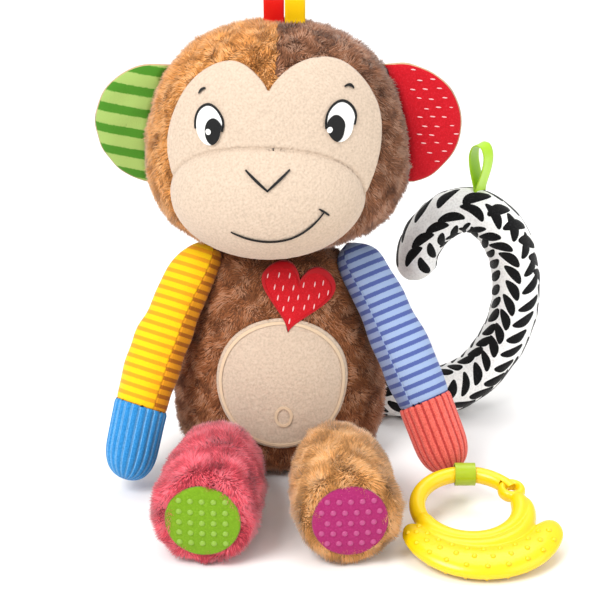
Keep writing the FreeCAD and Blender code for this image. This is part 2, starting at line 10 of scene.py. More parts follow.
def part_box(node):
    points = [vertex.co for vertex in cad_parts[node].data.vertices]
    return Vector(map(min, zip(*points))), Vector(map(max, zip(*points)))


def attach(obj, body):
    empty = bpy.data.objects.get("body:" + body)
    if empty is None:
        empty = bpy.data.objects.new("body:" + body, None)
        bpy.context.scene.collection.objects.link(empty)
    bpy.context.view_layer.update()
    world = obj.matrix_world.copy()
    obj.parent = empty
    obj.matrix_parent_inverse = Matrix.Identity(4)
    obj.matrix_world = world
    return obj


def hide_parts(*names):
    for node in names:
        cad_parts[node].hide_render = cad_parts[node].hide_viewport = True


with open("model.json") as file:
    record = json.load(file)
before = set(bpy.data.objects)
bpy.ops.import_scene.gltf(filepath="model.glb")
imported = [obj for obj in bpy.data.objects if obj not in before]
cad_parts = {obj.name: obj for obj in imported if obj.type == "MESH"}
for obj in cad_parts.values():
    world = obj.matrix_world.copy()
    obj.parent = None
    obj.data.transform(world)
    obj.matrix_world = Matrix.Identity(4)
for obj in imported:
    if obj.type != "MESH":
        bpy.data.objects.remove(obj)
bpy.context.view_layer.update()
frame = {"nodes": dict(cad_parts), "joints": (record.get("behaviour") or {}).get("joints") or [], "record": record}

MM = 0.001
UP = np.array((0.0, 0.0, 1.0))
FORWARD = np.array((0.0, -1.0, 0.0))

# ---- camera -------------------------------------------------------------------------------
CAMERA_PITCH = math.radians(22.0)
CAMERA_DISTANCE = 0.9
CAMERA_TARGET = Vector((0.0107, 0.0, 0.084))
VIEW_WIDTH = 0.312
SENSOR_MM = 36.0

# ---- the toy's own sizes, in millimetres ----------------------------------------------------
ARM_LENGTH = 118.0
ARM_CAP = 14.0              # from the tip to the first straight row
ARM_END = 114.0
CUFF = 39.0
SHOULDER_START = 0.7        # share of the arm's length where its shoulder begins
SHOULDER_RISE = 9.0
SHOULDER_LEAN = 4.0
EAR_ROOT = 4.2              # how far the ears' inner edges are sewn into the head
WALES = 20                  # corduroy ribs round a hand
TAIL_ROUTE = ((9, 46.4, 13), (31, 50, 13), (57, 40, 13), (80, 38, 13.2), (102, 44, 17),
              (119, 50, 32), (128.5, 52, 55), (129, 52, 80), (121, 52, 102), (101, 52, 115.5),
              (83, 52, 107), (75, 52, 91), (76, 52, 76))
SOLE_RADIUS = 17.6
DOT_PITCH = 5.4
RING_RADIUS = 25.0
RIBBON_WIDTH = 10.0
RIBBON_THICKNESS = 0.5
LOOP_HEIGHT = 24.6
LOOP_RADIUS = 4.6
RIGHT_BOW = 4.5             # how far each arm bends outward
LEFT_BOW = 1.5
SHOULDER_SWELL = 0.85
WALE_COLUMNS = 12           # columns of faces in one corduroy rib
CROWN = 1.6                 # how far a sole bulges
SOLE_LIFT = 0.9
FUR_FREE_RADIUS = 15.2      # no tufts on the sole inside this
GRIP_RADIUS = 1.45
GRIP_HEIGHT = 0.8
TAIL_PRINT_RADIUS = 12.6
TUFT_WIDTH = 0.62
TUFT_FLOOR = 0.3            # tufts end at least this far above the floor
THREAD_SIZE = 0.45

# ---- plush colours --------------------------------------------------------------------------
BROWN = (0.69, 0.41, 0.23)
GOLDEN = (0.92, 0.60, 0.28)
DARK = (0.62, 0.39, 0.25)
BEIGE = (0.79, 0.71, 0.63)


def make_camera():
    data = bpy.data.cameras.new("camera")
    data.sensor_width = SENSOR_MM
    data.lens = SENSOR_MM * CAMERA_DISTANCE / VIEW_WIDTH
    data.clip_start = 0.01
    camera = bpy.data.objects.new("camera", data)
    bpy.context.scene.collection.objects.link(camera)
    back = Vector((0, -math.cos(CAMERA_PITCH), math.sin(CAMERA_PITCH)))
    camera.location = CAMERA_TARGET + back * CAMERA_DISTANCE
    camera.rotation_euler = (math.pi / 2 - CAMERA_PITCH, 0, 0)
    bpy.context.scene.camera = camera


# ---- materials ----------------------------------------------------------------------------
def linear(colour):
    """A display colour as the linear colour that shaders use."""
    return tuple(c / 12.92 if c <= 0.04045 else ((c + 0.055) / 1.055) ** 2.4 for c in colour)


def rgba(colour):
    return (*linear(colour), 1.0)


def new_material(name, colour, roughness=0.8, sheen=0.0, specular=0.5):
    material = bpy.data.materials.new(name)
    material.use_nodes = True
    shader = material.node_tree.nodes["Principled BSDF"]
    shader.inputs["Base Color"].default_value = rgba(colour)
    shader.inputs["Roughness"].default_value = roughness
    shader.inputs["Sheen Weight"].default_value = sheen
    shader.inputs["Sheen Roughness"].default_value = 0.4
    shader.inputs["Specular IOR Level"].default_value = specular
    return material


def add_node(material, kind, **inputs):
    node = material.node_tree.nodes.new(kind)
    for name, value in inputs.items():
        node.inputs[name.replace("_", " ")].default_value = value
    return node


def link(material, start, end):
    material.node_tree.links.new(start, end)


def object_point(material):
    return add_node(material, "ShaderNodeTexCoord").outputs["Object"]


def add_bump(material, height, distance, strength=0.6):
    bump = add_node(material, "ShaderNodeBump", Strength=strength, Distance=distance)
    link(material, height, bump.inputs["Height"])
    shader = material.node_tree.nodes["Principled BSDF"]
    link(material, bump.outputs["Normal"], shader.inputs["Normal"])


def noise(material, size, detail=3.0):
    node = add_node(material, "ShaderNodeTexNoise", Scale=1.0 / size, Detail=detail)
    link(material, object_point(material), node.inputs["Vector"])
    return node.outputs["Fac"]


def ramp(material, factor, stops):
    """Colours by factor; stops are (place, display colour) pairs."""
    node = material.node_tree.nodes.new("ShaderNodeValToRGB")
    elements = node.color_ramp.elements
    while len(elements) < len(stops):
        elements.new(0.5)
    for element, (place, colour) in zip(elements, stops):
        element.position = place
        element.color = rgba(colour)
    link(material, factor, node.inputs["Fac"])
    return node.outputs["Color"]


def paint(material, colour):
    shader = material.node_tree.nodes["Principled BSDF"]
    link(material, colour, shader.inputs["Base Color"])


def darker(colour, share):
    return tuple(c * share for c in colour)


def lighter(colour, share):
    return tuple(c + (1 - c) * share for c in colour)


def minky(name, colour, size=1.1):
    """Short brushed plush: mottled by the lie of its pile, with a soft sheen."""
    material = new_material(name, colour, 0.9, 0.25, 0.2)
    paint(material, ramp(material, noise(material, size * MM, 4.0),
                         ((0.3, darker(colour, 0.92)), (0.55, colour), (0.75, lighter(colour, 0.10)))))
    add_bump(material, noise(material, 0.35 * MM), 0.3 * MM)
    return material


def thread(name, colour):
    """Satin-stitch embroidery: fine shiny threads."""
    material = new_material(name, colour, 0.5, 0.0, 0.3)
    wave = add_node(material, "ShaderNodeTexWave", Scale=1.0 / (THREAD_SIZE * MM) / 3.0, Distortion=1.0)
    link(material, object_point(material), wave.inputs["Vector"])
    add_bump(material, wave.outputs["Fac"], 0.2 * MM, 0.5)
    return material


def satin(name, colour):
    """Woven satin ribbon: smooth, shiny and finely ribbed across."""
    material = new_material(name, colour, 0.32, 0.1)
    material.node_tree.nodes["Principled BSDF"].inputs["Anisotropic"].default_value = 0.5
    add_bump(material, noise(material, 0.3 * MM), 0.05 * MM, 0.4)
    return material


def striped_knit(name, colours, direction, pitch, share, phase=0.0, size=0.5):
    """Jersey with stripes square to a direction; share is how much of the pitch is the first."""
    material = new_material(name, colours[0], 0.85, 0.15, 0.25)
    along = add_node(material, "ShaderNodeVectorMath")
    along.operation = "DOT_PRODUCT"
    link(material, object_point(material), along.inputs[0])
    along.inputs[1].default_value = tuple(np.array(direction) / (pitch * MM))
    wobble_node = add_node(material, "ShaderNodeMath")
    wobble_node.operation = "MULTIPLY_ADD"
    link(material, noise(material, size * MM, 2.0), wobble_node.inputs[0])
    wobble_node.inputs[1].default_value = 0.16
    link(material, along.outputs["Value"], wobble_node.inputs[2])
    shifted = add_node(material, "ShaderNodeMath")
    shifted.operation = "ADD"
    link(material, wobble_node.outputs["Value"], shifted.inputs[0])
    shifted.inputs[1].default_value = phase + 100.0
    fraction = add_node(material, "ShaderNodeMath")
    fraction.operation = "FRACT"
    link(material, shifted.outputs["Value"], fraction.inputs[0])
    first, second = colours
    paint(material, ramp(material, fraction.outputs["Value"],
                         ((0.0, second), (0.03, first), (share, first), (share + 0.04, second))))
    add_bump(material, noise(material, size * MM, 1.0), 0.25 * MM, 0.6)
    return material


# ---- points on the frame's surfaces ---------------------------------------------------------
def cad_tree(*names):
    """A search tree over the faces of CAD nodes."""
    points = []
    faces = []
    for name in names:
        mesh = frame["nodes"][name].data
        mesh.calc_loop_triangles()
        start = len(points)
        points.extend(vertex.co for vertex in mesh.vertices)
        faces.extend([start + corner for corner in face.vertices] for face in mesh.loop_triangles)
    return BVHTree.FromPolygons(points, faces)


def surface_points(tree, centre, rays, reach=0.3):
    """The first surface met along each ray from outside towards a centre."""
    found = np.empty_like(rays)
    for index, outside in enumerate(centre + rays * reach):
        origin = Vector(outside)
        hit = tree.ray_cast(origin, Vector(centre) - origin)[0]
        found[index] = centre if hit is None else hit
    return found


def unit(vectors):
    return vectors / np.maximum(np.linalg.norm(vectors, axis=-1, keepdims=True), 1e-12)


def frame_across(along):
    """Two directions square to one direction, the first as level as it can be."""
    helper = UP if abs(along[2]) < 0.9 else np.array((1.0, 0.0, 0.0))
    side = unit(np.cross(along, helper))
    return side, np.cross(side, along)


def directions_round(side, other, count):
    """Directions spread evenly over a full turn, from one direction through the other."""
    turn = np.linspace(0, 2 * math.pi, count, endpoint=False)
    return np.outer(np.cos(turn), side) + np.outer(np.sin(turn), other)


def joint_place(name):
    """Where a joint sits in the frame."""
    return np.array(next(joint["pos_m"] for joint in frame["joints"] if joint["name"] == name))


def wobble(points, size, seed, waves=8):
    """Smooth seeded noise at points, mostly from -1 to 1, with bumps of about that size."""
    rng = np.random.default_rng(seed)
    total = np.zeros(points.shape[:-1])
    for _ in range(waves):
        direction = unit(rng.normal(size=3))
        pitch = size * rng.uniform(0.7, 1.5)
        total += np.sin(points @ direction * (2 * math.pi / pitch) + rng.uniform(0, 2 * math.pi))
    return total / math.sqrt(waves)


def body_grid(tree, start, end, cap_rows, middle_rows, segments, even=True):
    """Points on a closed body in rows from one pole to the other, round the line start to end."""
    start = np.array(start)
    end = np.array(end)
    along = unit(end - start)
    side, other = frame_across(along)
    around = directions_round(side, other, segments)
    caps = np.linspace(-math.pi / 2, 0, cap_rows, endpoint=False)
    rows = [(start, lift) for lift in caps]
    rows += [(start + (end - start) * share, 0.0) for share in np.linspace(0, 1, middle_rows + 1)]
    rows += [(end, -lift) for lift in reversed(caps)]
    grid = np.empty((len(rows), segments, 3))
    for index, (centre, lift) in enumerate(rows):
        rays = around * math.cos(lift) + along * math.sin(lift)
        grid[index] = surface_points(tree, centre, rays)
    return evened(grid) if even else grid


def evened(grid):
    """The same surface with the rows evenly spaced along each meridian."""
    rows = len(grid)
    result = np.empty_like(grid)
    for column in range(grid.shape[1]):
        line = grid[:, column]
        steps = np.linalg.norm(np.diff(line, axis=0), axis=1)
        walked = np.concatenate(([0.0], np.cumsum(steps)))
        wanted = np.linspace(0, walked[-1], rows)
        for axis in range(3):
            result[:, column, axis] = np.interp(wanted, walked, line[:, axis])
    return result


def patch_grid(tree, centre, forward, rings, spokes, thickness):
    """A closed thin patch: rows from the middle of its front over the rim to its back."""
    centre = np.array(centre)
    side, other = frame_across(forward)
    around = directions_round(side, other, spokes)

    def ray(spoke, angle):
        return forward * math.cos(angle) + around[spoke] * math.sin(angle)

    def meets(spoke, angle):
        start = Vector(centre + ray(spoke, angle) * 0.3)
        return tree.ray_cast(start, Vector(centre) - start)[0] is not None

    limits = np.empty(spokes)
    for spoke in range(spokes):
        low = 0.0
        high = math.radians(2)
        while meets(spoke, high):
            low = high
            high += math.radians(2)
        for _ in range(9):
            middle = (low + high) / 2
            if meets(spoke, middle):
                low = middle
            else:
                high = middle
        limits[spoke] = low
    limits = (np.roll(limits, 1) + 2 * limits + np.roll(limits, -1)) / 4 - 0.002
    front = np.empty((rings + 1, spokes, 3))
    for ring in range(rings + 1):
        angles = limits * (ring / rings)
        rays = np.outer(np.cos(angles), forward) + around * np.sin(angles)[:, None]
        front[ring] = surface_points(tree, centre, rays)
    inward = unit(centre - front)
    back = (front + inward * thickness)[::-6]
    edge = front[-1] + inward[-1] * (thickness / 2) + unit(front[-1] - front[-2]) * (thickness / 3)
    return np.concatenate((front, edge[None], back))


def tube_grid(tree, route, reach, segments):
    """Points on a curved tube, row by row along its route."""
    along = unit(np.gradient(route, axis=0))
    side = unit(np.cross(along, np.array((0.0, 1.0, 0.0))))
    other = np.cross(along, side)
    grid = np.empty((len(route), segments, 3))
    for index, centre in enumerate(route):
        rays = directions_round(side[index], other[index], segments)
        grid[index] = surface_points(tree, centre, rays, reach)
    return grid


def spline(points, count):
    """A smooth line through points, sampled evenly."""
    points = np.array(points, float)
    padded = np.concatenate((2 * points[:1] - points[1:2], points, 2 * points[-1:] - points[-2:-1]))
    line = []
    for index in range(1, len(padded) - 2):
        a, b, c, d = padded[index - 1:index + 3]
        for t in np.linspace(0, 1, 24, endpoint=False):
            line.append(0.5 * (2 * b + (c - a) * t + (2 * a - 5 * b + 4 * c - d) * t ** 2
                               + (3 * b - a - 3 * c + d) * t ** 3))
    line.append(points[-1])
    line = np.array(line)
    walked = np.concatenate(([0.0], np.cumsum(np.linalg.norm(np.diff(line, axis=0), axis=1))))
    wanted = np.linspace(0, walked[-1], count)
    return np.stack([np.interp(wanted, walked, line[:, axis]) for axis in range(3)], axis=1)


def grid_normals(grid):
    down = np.gradient(grid, axis=0)
    across = np.roll(grid, -1, axis=1) - np.roll(grid, 1, axis=1)
    normals = np.cross(across, down)
    for row in (0, -1):
        if np.linalg.norm(normals[row]).max() < 1e-12:
            normals[row] = normals[row + 1 if row == 0 else row - 1].mean(axis=0)
    normals = unit(normals)
    outward = grid - grid.mean(axis=(0, 1))
    return normals if (normals * outward).sum() > 0 else -normals


# ---- meshes -------------------------------------------------------------------------------
def new_object(name, points, faces, materials, slots=None):
    mesh = bpy.data.meshes.new(name)
    mesh.from_pydata(np.asarray(points).tolist(), [], faces)
    mesh.polygons.foreach_set("use_smooth", [True] * len(mesh.polygons))
    for material in materials:
        mesh.materials.append(material)
    if slots is not None:
        mesh.polygons.foreach_set("material_index", np.asarray(slots, int).tolist())
    piece = bpy.data.objects.new(name, mesh)
    bpy.context.scene.collection.objects.link(piece)
    return piece


def grid_object(name, grid, materials, slots=None):
    """A closed mesh over a grid of rows, with a middle point at each end.
    slots gives a material number for a row and a column of faces."""
    inner = grid
    ends = [grid[0].mean(axis=0), grid[-1].mean(axis=0)]
    first_row = 0
    if np.ptp(grid[0], axis=0).max() < 1e-6:
        inner = inner[1:]
        first_row = 1
    if np.ptp(grid[-1], axis=0).max() < 1e-6:
        inner = inner[:-1]
    rows, segments = inner.shape[:2]
    points = np.concatenate((inner.reshape(-1, 3), np.array(ends)))
    row = np.repeat(np.arange(rows - 1), segments)
    column = np.tile(np.arange(segments), rows - 1)
    after = (column + 1) % segments
    quads = np.stack((row * segments + column, row * segments + after,
                      (row + 1) * segments + after, (row + 1) * segments + column), axis=1)
    last = (rows - 1) * segments
    faces = quads.tolist()
    columns = list(range(segments))
    for index in columns:
        following = (index + 1) % segments
        faces.append([following, index, rows * segments])
        faces.append([last + index, last + following, rows * segments + 1])
    if signed_volume(points, faces) < 0:
        faces = [face[::-1] for face in faces]
    numbers = None
    if slots is not None:
        numbers = slots(row + first_row, column).tolist()
        for index in columns:
            numbers.append(int(slots(np.array([0]), np.array([index]))[0]))
            numbers.append(int(slots(np.array([len(grid) - 2]), np.array([index]))[0]))
    return new_object(name, points, faces, materials, numbers)


def signed_volume(points, faces):
    a = points[[face[0] for face in faces]]
    b = points[[face[1] for face in faces]]
    c = points[[face[2] for face in faces]]
    return (a * np.cross(b, c)).sum()


def scatter(grid, count, seed, keep=None):
    """Points spread evenly over a grid, with their normals."""
    rng = np.random.default_rng(seed)
    normals = grid_normals(grid)
    corners = [(grid[:-1], normals[:-1]), (grid[1:], normals[1:]),
               (np.roll(grid, -1, 1)[:-1], np.roll(normals, -1, 1)[:-1]),
               (np.roll(grid, -1, 1)[1:], np.roll(normals, -1, 1)[1:])]
    a, b, c = (corner[0].reshape(-1, 3) for corner in corners[:3])
    area = np.linalg.norm(np.cross(b - a, c - a), axis=1)
    chosen = rng.choice(len(area), size=count, p=area / area.sum())
    s = rng.uniform(size=count)[:, None]
    t = rng.uniform(size=count)[:, None]
    shares = ((1 - s) * (1 - t), s * (1 - t), (1 - s) * t, s * t)
    points = sum(share * corner[0].reshape(-1, 3)[chosen] for share, corner in zip(shares, corners))
    facing = unit(sum(share * corner[1].reshape(-1, 3)[chosen]
                      for share, corner in zip(shares, corners)))
    if keep is not None:
        kept = keep(points, facing)
        points = points[kept]
        facing = facing[kept]
    return points, facing


def uncovered(tree, reach):
    """Keeps points that no other piece lies over within a reach."""
    def keep(points, normals):
        clear = [tree.ray_cast(Vector(point), Vector(normal), reach)[0] is None
                 for point, normal in zip(points, normals)]
        return np.array(clear)
    return keep


def tufts(name, body, roots, normals, shades, seed, length=3.2, flow=(0, 0, -1), clump=7.0):
    """A pile of plush: pointed tufts that lie along the flow, in clumps that part and meet."""
    rng = np.random.default_rng(seed)
    count = len(roots)
    drift = np.array(flow) + 0.9 * np.stack(
        [wobble(roots, clump * 1.6 * MM, seed + axis) for axis in (1, 2, 3)], axis=1)
    drift -= normals * (drift * normals).sum(axis=1, keepdims=True)
    direction = unit(normals + drift + rng.normal(0, 0.2, (count, 3)))
    reach = length * MM * rng.uniform(0.7, 1.15, count) * (1 + 0.2 * wobble(roots, clump * MM, seed + 4))
    tips = roots + direction * reach[:, None]
    side = unit(np.cross(direction, rng.normal(size=(count, 3))))
    other = np.cross(direction, side)
    points = np.empty((count, 4, 3))
    for corner in range(3):
        angle = 2 * math.pi * corner / 3
        offset = side * math.cos(angle) + other * math.sin(angle)
        points[:, corner] = roots - normals * (0.5 * MM) + offset * (TUFT_WIDTH * MM / 2)
    points[:, 3] = tips
    points[:, :, 2] = np.maximum(points[:, :, 2], TUFT_FLOOR * MM)
    first = 4 * np.arange(count)
    faces = np.stack([np.stack((first + a, first + b, first + c), axis=1)
                      for a, b, c in ((0, 1, 3), (1, 2, 3), (2, 0, 3), (0, 2, 1))], axis=1)
    # Each tuft takes one tone by clumped noise and chance, so the painted shade and painted highlight fall in
    # patches, with random tone among them.
    tone = 0.5 + 0.35 * wobble(roots, clump * 1.3 * MM, seed + 5) + rng.normal(0, 0.28, count)
    number = np.clip((tone * len(shades)).astype(int), 0, len(shades) - 1)
    piece = new_object(name, points.reshape(-1, 3), faces.reshape(-1, 3).tolist(), shades,
                       np.repeat(number, 4))
    soften(piece, points, roots, normals)
    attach(piece, body)
    return piece


def soften(piece, points, roots, normals):
    """Shades each tuft mostly as the surface under it, so that the pile looks soft."""
    spread = unit(points - points.mean(axis=1, keepdims=True))
    facing = unit(0.75 * normals[:, None] + 0.5 * spread)
    piece.data.normals_split_custom_set_from_vertices(facing.reshape(-1, 3).tolist())


def fur_shades(name, colour, dark=0.78, light=0.25, count=4):
    """The tones of one plush, from its deep pile to its tips: darker copies of its colour are painted shade for
    the deep pile, lighter ones painted highlight for the tips.
    """
    shades = []
    for index in range(count):
        share = index / (count - 1)
        # dark sets the painted shade of the first tones, light the painted highlight of the last.
        tone = darker(colour, dark + (1 - dark) * min(1, share * 1.5))
        tone = lighter(tone, light * max(0, share - 0.5) * 2)
        shades.append(new_material(f"{name}_{index}", tone, 0.75, 0.35, 0.3))
    return shades


def along_grid(grid, amount):
    return grid + grid_normals(grid) * np.asarray(amount)[..., None]


# ---- torso ----------------------------------------------------------------------------------
def make_torso():
    tree = cad_tree("torso_front_cover", "torso_back_cover", "torso_stuffing", "neck_stuffing")
    grid = body_grid(tree, (0, 0, 0.03), (0, 0, 0.09), 24, 60, 160)
    grid[..., 2] = np.minimum(grid[..., 2], 0.1172)
    skin = along_grid(grid, np.full(grid.shape[:2], -1.3 * MM))
    skin[..., 2] = np.maximum(skin[..., 2], 0.0001)
    # The skin under the fur is the plush's backing, darkened to 60 % as painted shade at the foot of the pile.
    body = grid_object("torso_skin", skin, [new_material("torso_backing_shade", darker(BROWN, 0.6), 0.9)])
    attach(body, "torso")
    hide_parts("torso_front_cover", "torso_back_cover", "torso_stuffing")
    patches = cad_tree("belly_patch", "heart_patch")
    shades = fur_shades("torso_fur", BROWN)
    for name, facing in (("front", -1), ("back", 1)):
        def keep(points, normals):
            clear = uncovered(patches, 6 * MM)(points, normals)
            half = points[:, 1] * facing > 0
            base = (points[:, 2] < 2 * MM) & (normals[:, 2] < -0.5)
            return clear & half & ~base
        roots, normals = scatter(skin, 84000, 10 + facing, keep)
        fur = tufts("torso_fur_" + name, "torso", roots, normals, shades, 20 + facing)


def nap(grid, rows, depth, seed):
    """A brushed pile on the front rows of a patch: small hollows, deeper along soft strokes."""
    amount = np.zeros(grid.shape[:2])
    amount[:rows] = -depth * (0.5 + 0.3 * wobble(grid[:rows], 1.3 * MM, seed)
                              + 0.2 * wobble(grid[:rows], 4 * MM, seed + 1))
    return along_grid(grid, np.clip(amount, -depth, 0))


def make_belly():
    tree = cad_tree("belly_patch")
    rings = 90
    grid = patch_grid(tree, (2 * MM, 0, 54 * MM), FORWARD, rings, 260, 1.2 * MM)
    patch = grid_object("belly_plush", nap(grid, rings, 0.25 * MM, 31), [minky("belly_minky", BEIGE)])
    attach(patch, "torso")
    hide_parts("belly_patch")
    tree = cad_tree("heart_patch")
    grid = patch_grid(tree, (9.5 * MM, 0, 97.5 * MM), FORWARD, 50, 240, 1.2 * MM)
    red = minky("heart_cloth", (0.78, 0.09, 0.13), 0.8)
    patch = grid_object("heart_cloth", grid, [red])
    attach(patch, "torso")
    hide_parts("heart_patch")
    low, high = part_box("heart_patch")
    prints = dashes("heart_dashes", "torso", tree, ((low.x + high.x) / 2, (low.z + high.z) / 2), 20,
                    (5.0, 5.4), math.radians(12), 1.5, (0.95, 0.78, 0.78), 35)


# ---- head -----------------------------------------------------------------------------------
def make_head():
    tree = cad_tree("head_cover_left", "head_cover_right", "head_stuffing")
    grid = body_grid(tree, (0, 0, 0.165), (0, 0, 0.185), 60, 30, 220)
    grid[..., 2] = np.maximum(grid[..., 2], 0.1195)
    skin = along_grid(grid, np.full(grid.shape[:2], -1.2 * MM))
    # The skin under each half of the fur is its backing, the fur colour darkened to 60 % as painted shade at the
    # foot of the pile.
    backing = [new_material("head_backing_shade_left", darker(DARK, 0.6), 0.9),
               new_material("head_backing_shade_right", darker(GOLDEN, 0.6), 0.9)]
    middle = grid.mean(axis=(0, 1))[0]

    def side(row, column):
        return (skin[row, column, 0] < middle).astype(int)
    body = grid_object("head_skin", skin, backing, side)
    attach(body, "head")
    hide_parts("head_cover_left", "head_cover_right", "head_stuffing")
    face = cad_tree("face_mask", "muzzle_cover")
    for name, colour, facing in (("left", DARK, 1), ("right", GOLDEN, -1)):
        def keep(points, normals):
            clear = uncovered(face, 7 * MM)(points, normals)
            return clear & ((points[:, 0] - middle) * facing > 0)
        roots, normals = scatter(skin, 96000, 40 + facing, keep)
        fur = tufts("head_fur_" + name, "head", roots, normals, fur_shades("head_fur_" + name, colour),
                    50 + facing)


def make_face():
    tree = cad_tree("face_mask", "muzzle_cover", "muzzle_stuffing")
    rings = 150
    grid = patch_grid(tree, (0, 0, 0.168), FORWARD, rings, 400, 2.0 * MM)
    grid = creased(nap(grid, rings, 0.25 * MM, 61), rings)
    face = grid_object("face_plush", grid, [minky("face_minky", BEIGE)])
    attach(face, "head")
    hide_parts("face_mask", "muzzle_cover", "muzzle_stuffing")


def creased(grid, rings):
    """Sinks the seam round the top of the muzzle and the dart above the nose."""
    mask = cad_tree("face_mask")
    muzzle = cad_tree("muzzle_cover")
    depth = np.zeros(grid.shape[:2])
    ring = np.arange(len(grid))
    for spoke in range(grid.shape[1]):
        for index in range(rings // 5, rings):
            place = Vector(grid[index, spoke])
            if mask.find_nearest(place)[3] < muzzle.find_nearest(place)[3]:
                depth[:, spoke] = 0.8 * MM * np.exp(-((ring - index) / 2.0) ** 2)
                break
    low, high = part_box("muzzle_cover")
    middle = (low.x + high.x) / 2 + 2 * MM
    height = grid[..., 2]
    span = (height > high.z - 11 * MM) & (height < high.z + 0.5 * MM)
    depth += span * 0.3 * MM * np.exp(-((grid[..., 0] - middle) / (1.2 * MM)) ** 2)
    depth[rings:] = 0
    return along_grid(grid, -depth)


def make_embroidery():
    """The stitched features keep their CAD shapes, with a satin thread on them."""
    looks = {"thread_white": thread("white_thread", (0.97, 0.97, 0.96)),
             "thread_dark": thread("black_thread", (0.03, 0.03, 0.035)),
             "thread_beige": thread("beige_thread", (0.86, 0.76, 0.64)),
             "thread_red": thread("red_thread", (0.72, 0.03, 0.08))}
    for part in frame["record"]["subparts"]:
        if part["material_slot"] in looks:
            dress(part["node"], looks[part["material_slot"]])


def dress(node, material):
    mesh = frame["nodes"][node].data
    mesh.materials.clear()
    mesh.materials.append(material)


# ---- ears -----------------------------------------------------------------------------------
def pad_grid(tree, middle, rings, spokes):
    """A flat closed pad seen along Y: rows from the middle of its front, over its rim, to its back."""
    grid = np.empty((2 * rings + 1, spokes, 3))

    def hit(place, way):
        start = Vector((place[0], middle[1] - way * 0.3, place[2]))
        return tree.ray_cast(start, Vector((0, way, 0)))[0]
    for spoke in range(spokes):
        t = 2 * math.pi * spoke / spokes
        direction = np.array((math.cos(t), 0.0, math.sin(t)))
        inside = 0.0
        outside = 0.06
        for _ in range(16):
            reach = (inside + outside) / 2
            if hit(middle + direction * reach, 1) is None:
                outside = reach
            else:
                inside = reach
        for ring in range(rings):
            place = middle + direction * inside * math.sin(math.pi / 2 * (ring + 0.02) / rings) * 0.997
            grid[ring, spoke] = hit(place, 1)
            grid[-1 - ring, spoke] = hit(place, -1) or hit(place, 1)
        grid[rings, spoke] = (grid[rings - 1, spoke] + grid[rings + 1, spoke]) / 2 + direction * 0.5 * MM
    return grid


def make_ear(name, side, front_material):
    """A flat pad: printed front, plush rim and back, drawn in to the head at its root."""
    tree = cad_tree("ear_front_" + name, "ear_back_" + name)
    low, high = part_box("ear_front_" + name)
    back_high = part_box("ear_back_" + name)[1]
    middle = np.array(((low.x + high.x) / 2 + side * 2 * MM, (low.y + back_high.y) / 2,
                       (low.z + high.z) / 2))
    rings = 44
    grid = pad_grid(tree, middle, rings, 200)
    inward = np.array((-side, 0.0, 0.0))
    facing = np.clip(grid_normals(grid) @ inward - 0.3, 0, 1) / 0.7
    grid = grid + inward * (EAR_ROOT * MM * facing)[..., None]
    grid = along_grid(grid, 0.25 * MM * wobble(grid, 15 * MM, 65 + side))
    front_rows = rings - 3

    def printed(row, column):
        return np.where(row < front_rows, 0, 1)
    plush = minky("ear_plush_" + name, (0.74, 0.62, 0.48))
    ear = grid_object("ear_pad_" + name, grid, [front_material, plush], printed)
    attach(ear, "ear_" + name)
    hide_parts("ear_front_" + name, "ear_back_" + name, "ear_film_" + name)


def dashes(name, body, tree, centre, reach, spacing, slant, size, colour, seed):
    """Short printed dashes, as fine raised strokes on a cloth that faces forward."""
    rng = np.random.default_rng(seed)
    along = np.array((math.sin(slant), 0.0, math.cos(slant)))
    points = []
    faces = []
    steps = int(reach / spacing[0]) + 1
    for row in range(-steps, steps + 1):
        for column in range(-steps, steps + 1):
            x = (column + 0.5 * (row % 2)) * spacing[0] + rng.uniform(-0.6, 0.6)
            z = row * spacing[1] + rng.uniform(-0.5, 0.5)
            place = np.array((centre[0] + x * MM, 0, centre[1] + z * MM))
            ends = [place + along * size * MM * share for share in (-1.3, 0, 1.3)]
            ends += [place + np.cross(along, FORWARD) * side * 1.3 * MM for side in (-1, 1)]
            hits = [tree.ray_cast(Vector((end[0], -0.3, end[2])), Vector((0, 1, 0))) for end in ends]
            if any(hit[0] is None for hit in hits):
                continue
            middle = np.array(hits[1][0])
            out = np.array(hits[1][1])
            stroke = unit(np.array(hits[2][0]) - np.array(hits[0][0]))
            width = np.cross(out, stroke)
            add_dome(points, faces, middle, out, stroke * (size / 0.35), width, 0.35 * MM, 0.22 * MM,
                     10, 3)
    strokes = new_object(name, points, faces, [thread(name + "_print", colour)])
    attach(strokes, body)
    return strokes


def make_ears():
    tilt = math.radians(8)
    green = striped_knit("ear_stripes", ((0.58, 0.68, 0.36), (0.25, 0.48, 0.10)),
                         (math.sin(tilt), 0, math.cos(tilt)), 10.9, 0.57)
    make_ear("right", -1, green)
    make_ear("left", 1, minky("ear_red_cloth", (0.74, 0.05, 0.11), 0.8))
    low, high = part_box("ear_front_left")
    tree = cad_tree("ear_front_left")
    prints = dashes("ear_dashes", "ear_left", tree, ((low.x + high.x) / 2, (low.z + high.z) / 2), 36,
                    (6.4, 4.6), math.radians(97), 1.4, (0.93, 0.72, 0.72), 71)


# ---- arms -----------------------------------------------------------------------------------
def bowed(grid, foot, along, outward, amount):
    """An arm's points bent outward at mid length, with a full shoulder that leans to the body."""
    share = np.clip(((grid - foot) @ along) / (ARM_LENGTH * MM), 0, 1)
    upper = np.clip((share - SHOULDER_START) / (1 - SHOULDER_START), 0, 1)
    axis = foot + (share * ARM_LENGTH * MM)[..., None] * along
    full = axis + (grid - axis) * (1 + SHOULDER_SWELL * upper ** 2)[..., None]
    full = full + along * (SHOULDER_RISE * MM * upper)[..., None]
    sideways = amount * np.sin(math.pi * share) ** 1.5 - SHOULDER_LEAN * upper ** 2
    return full + outward * (sideways * MM)[..., None]


